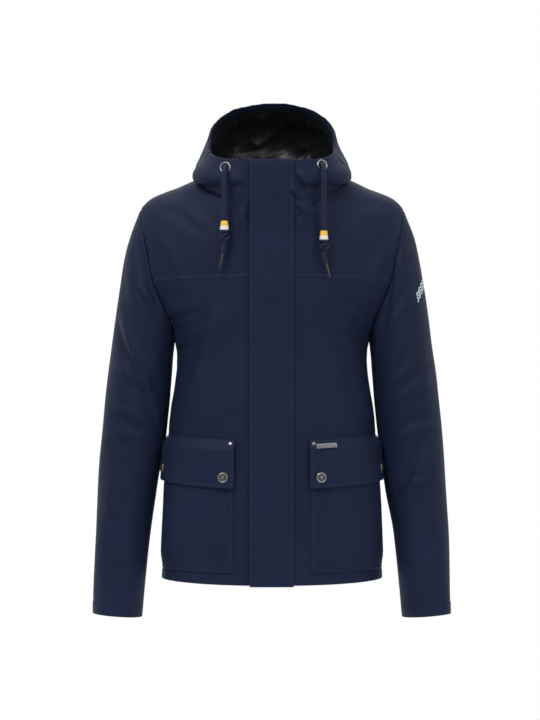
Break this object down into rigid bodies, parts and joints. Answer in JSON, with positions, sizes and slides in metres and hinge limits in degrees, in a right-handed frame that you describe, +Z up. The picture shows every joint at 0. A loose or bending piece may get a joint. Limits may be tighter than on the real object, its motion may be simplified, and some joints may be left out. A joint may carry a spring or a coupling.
{
  "type": "foul weather jacket",
  "caption": "Hip-length hooded sailing jacket, closed and hanging as worn, with a storm flap over the zip, patch pockets under snap flaps and a corded hood.",
  "frame": {"origin": "bearing point of the hang loop at the inside back neck, where a hook carries the jacket", "axes": "+Z up the wearer's spine, -Y to the front of the jacket, +X to the wearer's left"},
  "size_m": [0.6006, 0.2874, 0.8663],
  "materials": {
    "shell": "matt navy coated cloth",
    "lining": "black satin with a soft sheen",
    "webbing": "navy woven tape",
    "zip_tape": "navy woven tape",
    "coil": "satin plastic",
    "metal": "satin nickel",
    "cord": "braided navy cord",
    "bead": "painted bands, satin",
    "thread": "raised embroidery"
  },
  "bodies": {
    "jacket": {"right_front_panel": "shell", "left_front_panel": "shell", "right_front_yoke": "shell", "left_front_yoke": "shell", "back_panel": "shell", "back_yoke": "shell", "right_front_lining": "lining", "left_front_lining": "lining", "back_lining": "lining", "right_chin_panel": "shell", "left_chin_panel": "shell", "right_chin_facing": "lining", "left_chin_facing": "lining", "right_hood_side": "shell", "left_hood_side": "shell", "hood_crown_panel": "shell", "hood_lining": "lining", "fly_shield": "lining", "flap_loop_tape": "webbing", "right_zip_tape": "zip_tape", "left_zip_tape": "zip_tape", "right_zip_coil": "coil", "left_zip_coil": "coil", "right_pocket": "shell", "left_pocket": "shell", "right_snap_stud_front": "metal", "right_snap_stud_rear": "metal", "left_snap_stud_front": "metal", "left_snap_stud_rear": "metal", "right_eyelet": "metal", "left_eyelet": "metal", "right_cord": "cord", "left_cord": "cord", "right_knot": "cord", "left_knot": "cord", "right_aglet": "metal", "left_aglet": "metal", "hang_loop": "webbing"},
    "storm_flap": {"storm_flap": "shell", "flap_hook_tape": "webbing"},
    "zip_slider": {"zip_slider": "metal"},
    "zip_pull": {"zip_pull": "metal"},
    "right_pocket_flap": {"right_pocket_flap": "shell", "right_snap_cap_front": "metal", "right_snap_cap_rear": "metal", "right_rivet_front": "metal", "right_rivet_rear": "metal"},
    "left_pocket_flap": {"left_pocket_flap": "shell", "left_snap_cap_front": "metal", "left_snap_cap_rear": "metal", "left_rivet_front": "metal", "left_rivet_rear": "metal", "label_plate": "metal"},
    "right_bead": {"right_bead": "bead"},
    "left_bead": {"left_bead": "bead"},
    "right_sleeve": {"right_sleeve": "shell", "right_sleeve_lining": "lining"},
    "left_sleeve": {"left_sleeve": "shell", "left_sleeve_lining": "lining", "sleeve_badge": "thread"}
  },
  "joints": [
    {"name": "storm_flap_hinge", "type": "hinge", "parent": "jacket", "child": "storm_flap", "pos_m": [0.0355, -0.2132, -0.6855], "axis": [0, 0.0314, 0.9995], "range_deg": [0, 120]},
    {"name": "zip_slide", "type": "slide", "parent": "jacket", "child": "zip_slider", "axis": [0, -0.0314, -0.9995], "range_m": [0, 0.64]},
    {"name": "zip_pull_swing", "type": "hinge", "parent": "zip_slider", "child": "zip_pull", "pos_m": [0, -0.18965, -0.003], "axis": [0, -0.9995, 0.0314], "range_deg": [-28, 28]},
    {"name": "right_pocket_flap_hinge", "type": "hinge", "parent": "jacket", "child": "right_pocket_flap", "pos_m": [-0.1357, -0.1674, -0.4417], "axis": [-0.7627, 0.6432, 0.0671], "range_deg": [0, 130]},
    {"name": "left_pocket_flap_hinge", "type": "hinge", "parent": "jacket", "child": "left_pocket_flap", "pos_m": [0.1357, -0.1674, -0.4417], "axis": [-0.7627, -0.6432, -0.0671], "range_deg": [0, 130]},
    {"name": "right_bead_slide", "type": "slide", "parent": "jacket", "child": "right_bead", "axis": [0, 0, 1], "range_m": [0, 0.055]},
    {"name": "left_bead_slide", "type": "slide", "parent": "jacket", "child": "left_bead", "axis": [0, 0, 1], "range_m": [0, 0.07]},
    {"name": "right_sleeve_lift", "type": "hinge", "parent": "jacket", "child": "right_sleeve", "pos_m": [-0.221, -0.076, -0.066], "axis": [0, 1, 0], "range_deg": [0, 60]},
    {"name": "left_sleeve_lift", "type": "hinge", "parent": "jacket", "child": "left_sleeve", "pos_m": [0.221, -0.076, -0.066], "axis": [0, -1, 0], "range_deg": [0, 60]}
  ]
}
